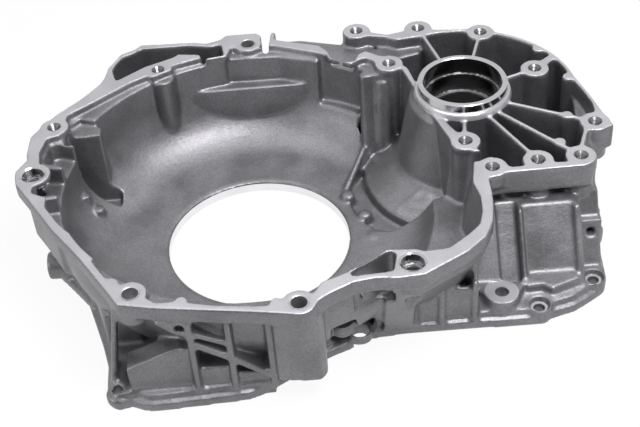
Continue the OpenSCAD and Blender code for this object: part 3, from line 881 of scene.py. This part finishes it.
@dataclass
class Machining:
    """The turned ring and the drilled holes, which stay crisp on the casting.

    Attributes:
        lift: Height of the linings' rims above the face, in millimetres.
        pitch: Pitch of the threads.
        cut: Depth of the threads.
        steps: Number of steps round the ring.
    """

    lift: float = 0.06
    pitch: float = 1.5
    cut: float = 0.75
    steps: int = 160

    def build(self) -> list[bpy.types.Object]:
        """Returns:
            The ring, the wall of the round hole and the linings.
        """
        return [self._ring(), self._hub(), self._holes()]

    def _ring(self) -> bpy.types.Object:
        """Returns:
            The bearing ring on the output axis.
        """
        lay = LAYOUT
        top = lay.ring_top()
        bevel = top - lay.ring_bevel
        rim = [
            (lay.ring + 2.2, lay.face + 3.9),
            (lay.ring, lay.face + 5.2),
            (lay.ring, bevel),
            (lay.ring - lay.ring_bevel, top),
            (lay.seat + lay.ring_bevel, top),
            (lay.seat, bevel),
        ]
        step = top - lay.seat_deep
        end = step - lay.seat_deep
        bore = [
            (lay.seat, bevel),
            (lay.seat, step),
            (lay.bore, step),
            (lay.bore, end),
            (lay.passage, end),
            (lay.passage, 40.0),
        ]
        surface = Surface()
        surface.lathe(lay.output(), rim, 0, self.steps)
        # The seat and the bore below it take the darkened material, which paints the shade inside the
        # ring
        surface.lathe(lay.output(), bore, 1, self.steps)
        return surface.mesh("bearing_ring", [TURNED.make(), SHADED_SEAT.make()])

    @staticmethod
    def _hub() -> bpy.types.Object:
        """Returns:
            The turned wall of the round hole in the bowl floor.
        """
        surface = Surface()
        surface.lathe((0.0, 0.0), [(LAYOUT.hub, LAYOUT.hub_top), (LAYOUT.hub, 0.0)], 0, 240)
        return surface.mesh("hub_wall", [BORED.make()])

    def _holes(self) -> bpy.types.Object:
        """Returns:
            The linings of the holes.
        """
        surface = Surface()
        for hole in drillings():
            if hole.kind is Hole.THREAD:
                # Threads take the darkened material, which paints the shade inside the holes
                surface.lathe(hole.place, self._thread(hole), 0)
            elif hole.kind is Hole.CLEAR:
                surface.lathe(hole.place, self._sleeve(hole), 1)
            else:
                surface.lathe(hole.place, self._sleeve(hole), 2, 64)
        return surface.mesh("hole_linings", [SHADED_THREADS.make(), REAMED.make(), TURNED.make()])

    def _mouth(self, hole: Drilling) -> list[tuple[float, float]]:
        """Args:
            hole: The hole.

        Returns:
            Profile of its rim and bevel.
        """
        top = hole.top + self.lift
        return [(hole.sink + 0.55, top - 0.02), (hole.sink, top)]

    def _sleeve(self, hole: Drilling) -> list[tuple[float, float]]:
        """Args:
            hole: A hole with a smooth wall.

        Returns:
            Its profile.
        """
        inner = hole.radius - 0.25
        start = hole.top - (hole.sink - hole.radius)
        end = hole.top - hole.depth + 0.2
        profile = self._mouth(hole) + [(inner, start), (inner, end)]
        if hole.kind is Hole.DOWEL:
            profile.append((hole.radius - 2.8, end))
        return profile

    def _thread(self, hole: Drilling) -> list[tuple[float, float]]:
        """Args:
            hole: A threaded hole.

        Returns:
            Its profile, with a groove for each turn.
        """
        profile = self._mouth(hole)
        crest = hole.radius - 0.85
        z = hole.top - (hole.sink - hole.radius)
        while z > hole.top - hole.depth + self.pitch:
            profile += [(crest + self.cut, z), (crest, z - self.pitch / 2)]
            z -= self.pitch
        return profile


@dataclass(frozen=True)
class Lamp:
    """A soft box.

    Attributes:
        name: Its name.
        place: Where it hangs, in metres.
        aim: Point it faces, in metres.
        size: Edge lengths, in metres.
        power: Power in watts.
    """

    name: str
    place: tuple[float, float, float]
    aim: tuple[float, float, float]
    size: tuple[float, float]
    power: float

    def hang(self) -> None:
        """Puts the lamp in the scene."""
        data = bpy.data.lights.new(self.name, "AREA")
        data.shape = "RECTANGLE"
        data.size, data.size_y = self.size
        data.energy = self.power
        lamp = bpy.data.objects.new(self.name, data)
        lamp.location = self.place
        aim = Vector(self.aim) - Vector(self.place)
        lamp.rotation_euler = aim.to_track_quat("-Z", "Y").to_euler()
        bpy.context.scene.collection.objects.link(lamp)


@dataclass(frozen=True)
class Viewpoint:
    """Where the photograph was taken from.

    Attributes:
        place: Place of the camera, in metres.
        down: Tilt below the horizon, in degrees.
        roll: Turn about the line of sight, in degrees.
        lens: Focal length, in millimetres.
        sensor: Width of the sensor, in millimetres.
    """

    place: tuple[float, float, float] = (0.054, -0.7954, 0.717)
    down: float = 40.674
    roll: float = -4.706
    lens: float = 69.49
    sensor: float = 36.0

    def take(self) -> None:
        """Puts the camera in the scene and looks through it."""
        data = bpy.data.cameras.new("camera")
        data.sensor_width = self.sensor
        data.lens = self.lens
        data.clip_start, data.clip_end = 0.05, 20.0
        tilt = Matrix.Rotation(math.radians(90.0 - self.down), 4, "X")
        turn = Matrix.Rotation(math.radians(self.roll), 4, "Z")
        camera = bpy.data.objects.new("camera", data)
        camera.matrix_world = Matrix.Translation(self.place) @ tilt @ turn
        bpy.context.scene.collection.objects.link(camera)
        bpy.context.scene.camera = camera


@dataclass
class Studio:
    """White backdrop, soft light and the camera of the photograph.

    Attributes:
        fill: Strength of the light from all round.
        glow: Share of plain white in the floor as it is seen; the rest shows the casting's shadow.
        lamps: The soft boxes.
        view: The camera.
    """

    fill: float = 0.40
    glow: float = 0.93
    lamps: tuple[Lamp, ...] = (
        Lamp("key", (0.50, -0.48, 1.40), (0.05, 0.0, 0.05), (0.8, 0.6), 23.0),
        Lamp("top", (0.0, 0.2, 1.6), (0.05, 0.0, 0.0), (1.2, 0.9), 6.0),
        Lamp("left", (-1.3, -0.6, 0.6), (0.0, 0.0, 0.0), (0.8, 0.6), 5.5),
        Lamp("front", (0.35, -1.25, 0.1), (0.1, 0.0, 0.05), (1.4, 0.16), 1.5),
    )
    view: Viewpoint = Viewpoint()

    def build(self) -> None:
        """Makes the world, the floor, the lamps and the camera."""
        self._world()
        self._floor()
        self._card()
        for lamp in self.lamps:
            lamp.hang()
        self.view.take()
        bpy.context.scene.view_settings.view_transform = "Standard"

    @staticmethod
    def _seen(tree: bpy.types.NodeTree) -> Wire:
        """Args:
            tree: A node tree.

        Returns:
            1 where the backdrop is seen, straight or in a reflection, and 0 where it gives light.
        """
        path = tree.nodes.new("ShaderNodeLightPath")
        seen = Wire(tree, path.outputs["Is Camera Ray"])
        for name in ("Is Glossy Ray", "Is Transmission Ray"):
            seen = seen.most(Wire(tree, path.outputs[name]))
        return seen

    def _world(self) -> None:
        """Lights the scene softly from all round; the backdrop itself is white."""
        world = bpy.data.worlds.new("studio")
        bpy.context.scene.world = world
        world.use_nodes = True
        tree = world.node_tree
        back = tree.nodes["Background"]
        back.inputs["Color"].default_value = (1.0, 1.0, 1.0, 1.0)
        plug(tree, self._seen(tree).span(0.0, 1.0, self.fill, 1.0), back.inputs["Strength"])

    def _floor(self) -> None:
        """Adds the white sheet that the casting lies on, bright where it is seen."""
        place = (0.05, 0.0, -0.0006)
        floor, tree, mix = self._sheet("floor", 0.8, "ShaderNodeEmission", size=6.0, location=place)
        plug(tree, self._seen(tree) * self.glow, mix.inputs[0])

    def _card(self) -> None:
        """Hangs an unseen black card behind the camera, which darkens what faces the viewer."""
        where = {"location": (0.05, -1.3, 0.62), "rotation": (math.radians(90.0), 0.0, 0.0)}
        card, tree, mix = self._sheet("black_card", 0.02, "ShaderNodeBsdfTransparent", size=1.0, **where)
        card.scale = (3.0, 1.1, 1.0)
        path = tree.nodes.new("ShaderNodeLightPath")
        plug(tree, path.outputs["Is Camera Ray"], mix.inputs[0])

    @staticmethod
    def _sheet(
        name: str, grey: float, other: str, **plane: "float | tuple[float, float, float]"
    ) -> tuple[bpy.types.Object, bpy.types.NodeTree, bpy.types.Node]:
        """Adds a flat matt sheet that shows a second shader to some rays.

        Args:
            name: Name of the sheet and of its material.
            grey: Lightness of the sheet.
            other: Kind of the second shader.
            **plane: Size and place of the sheet.

        Returns:
            The sheet, its node tree, and the mix whose factor says which rays meet the second shader.
        """
        bpy.ops.mesh.primitive_plane_add(**plane)
        sheet = bpy.context.object
        sheet.name = name
        material = bpy.data.materials.new(name)
        material.use_nodes = True
        tree = material.node_tree
        base = tree.nodes["Principled BSDF"]
        base.inputs["Base Color"].default_value = (grey, grey, grey, 1.0)
        base.inputs["Roughness"].default_value = 0.9
        second = tree.nodes.new(other)
        mix = tree.nodes.new("ShaderNodeMixShader")
        tree.links.new(base.outputs[0], mix.inputs[1])
        tree.links.new(second.outputs[0], mix.inputs[2])
        tree.links.new(mix.outputs[0], tree.nodes["Material Output"].inputs[0])
        sheet.data.materials.append(material)
        return sheet, tree, mix


def main() -> None:
    """Builds the scene."""
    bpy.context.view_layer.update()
    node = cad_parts["housing"]
    body = Casting().build(node)
    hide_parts("housing")
    for piece in (body, *Machining().build()):
        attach(piece, "root")
    Studio().build()


if __name__ == "__main__":
    main()
